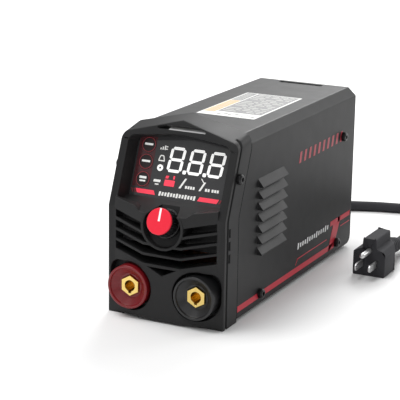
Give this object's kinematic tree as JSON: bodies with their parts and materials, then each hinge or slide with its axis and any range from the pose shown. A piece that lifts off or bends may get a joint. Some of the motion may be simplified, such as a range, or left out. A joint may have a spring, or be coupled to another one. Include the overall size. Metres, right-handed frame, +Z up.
{
  "type": "stick welding inverter",
  "caption": "Portable stick welding inverter with raked display, current knob, output sockets, louvred steel case, rear fan and mains cord.",
  "frame": {"origin": "centre of the underside of the case's bounding box, on the floor, without the mains cable and plug", "axes": "+Y from the front panel to the rear panel, +X to the right seen from the front, +Z up"},
  "size_m": [0.2782, 0.4453, 0.1641],
  "materials": {
    "panel_plastic": "fine moulded grain",
    "window": "smooth dark window",
    "circuit_board": "lacquered board",
    "light_plastic": "smooth",
    "dark_epoxy": "moulded",
    "button": "smooth, tinted dark red",
    "knob_plastic": "fine moulded grain",
    "red_cap": "bright red, smooth",
    "plated_steel": "nickel or zinc plated",
    "red_collar": "dark red, satin",
    "black_collar": "black, satin",
    "brass": "turned",
    "copper": null,
    "case_paint": "dark grey powder coat",
    "rubber": "moulded",
    "screw_black": "black oxide",
    "chrome_wire": "bright wire",
    "rocker_red": "translucent red",
    "aluminium": "extruded",
    "ferrite": "sintered ferrite",
    "capacitor_sleeve": "shrunk sleeve",
    "cable_rubber": "smooth black jacket"
  },
  "bodies": {
    "case": {"front_panel": "panel_plastic", "display_window": "window", "display_board": "circuit_board", "led_digits": "light_plastic", "button_switches": "dark_epoxy", "potentiometer": "plated_steel", "socket_collar_left": "red_collar", "socket_collar_right": "black_collar", "socket_insert_left": "brass", "socket_insert_right": "brass", "socket_nuts": "plated_steel", "busbar_left": "copper", "busbar_right": "copper", "housing_cover": "case_paint", "base_plate": "case_paint", "rear_panel": "panel_plastic", "rear_feet": "rubber", "side_screws": "screw_black", "fan_frame": "knob_plastic", "fan_guard": "chrome_wire", "fan_screws": "plated_steel", "switch_body": "knob_plastic", "cable_gland": "knob_plastic", "gland_nut": "knob_plastic", "main_board": "circuit_board", "board_standoffs": "brass", "control_board": "circuit_board", "heatsink_left": "aluminium", "heatsink_right": "aluminium", "power_transistors": "dark_epoxy", "output_diodes": "dark_epoxy", "transformer_core": "ferrite", "transformer_winding": "copper", "choke_core": "ferrite", "choke_winding": "copper", "capacitors": "capacitor_sleeve", "bridge_rectifier": "dark_epoxy", "current_sensor": "capacitor_sleeve", "air_baffle": "light_plastic", "cord_lead": "cable_rubber", "cord_coil": "cable_rubber", "cord_tail": "cable_rubber", "coil_tie": "knob_plastic", "plug_body": "cable_rubber", "plug_blades": "plated_steel", "plug_ground_pin": "plated_steel", "plug_strain_relief": "cable_rubber"},
    "knob": {"knob_body": "knob_plastic", "knob_cap": "red_cap", "knob_pointer": "light_plastic", "knob_spindle": "plated_steel"},
    "fan_rotor": {"fan_impeller": "knob_plastic"},
    "rocker": {"switch_rocker": "rocker_red"},
    "upper_button": {"button_upper": "button"},
    "middle_button": {"button_middle": "button"},
    "lower_button": {"button_lower": "button"}
  },
  "joints": [
    {"name": "knob_turn", "type": "hinge", "parent": "case", "child": "knob", "pos_m": [0, -0.1422, 0.0806], "axis": [0, -0.9272, 0.3746], "range_deg": [-140, 140]},
    {"name": "fan_spin", "type": "hinge", "parent": "case", "child": "fan_rotor", "pos_m": [0, 0.1118, 0.098], "axis": [0, 1, 0], "continuous": true},
    {"name": "power_rocker", "type": "hinge", "parent": "case", "child": "rocker", "pos_m": [0.022, 0.1235, 0.031], "axis": [-1, 0, 0], "range_deg": [0, 18]},
    {"name": "press_upper", "type": "slide", "parent": "case", "child": "upper_button", "axis": [0, 0.9272, -0.3746], "range_m": [0, 0.0006], "stiffness_N_per_m": 800, "springref_m": -0.0003},
    {"name": "press_middle", "type": "slide", "parent": "case", "child": "middle_button", "axis": [0, 0.9272, -0.3746], "range_m": [0, 0.0006], "stiffness_N_per_m": 800, "springref_m": -0.0003},
    {"name": "press_lower", "type": "slide", "parent": "case", "child": "lower_button", "axis": [0, 0.9272, -0.3746], "range_m": [0, 0.0006], "stiffness_N_per_m": 800, "springref_m": -0.0003}
  ]
}
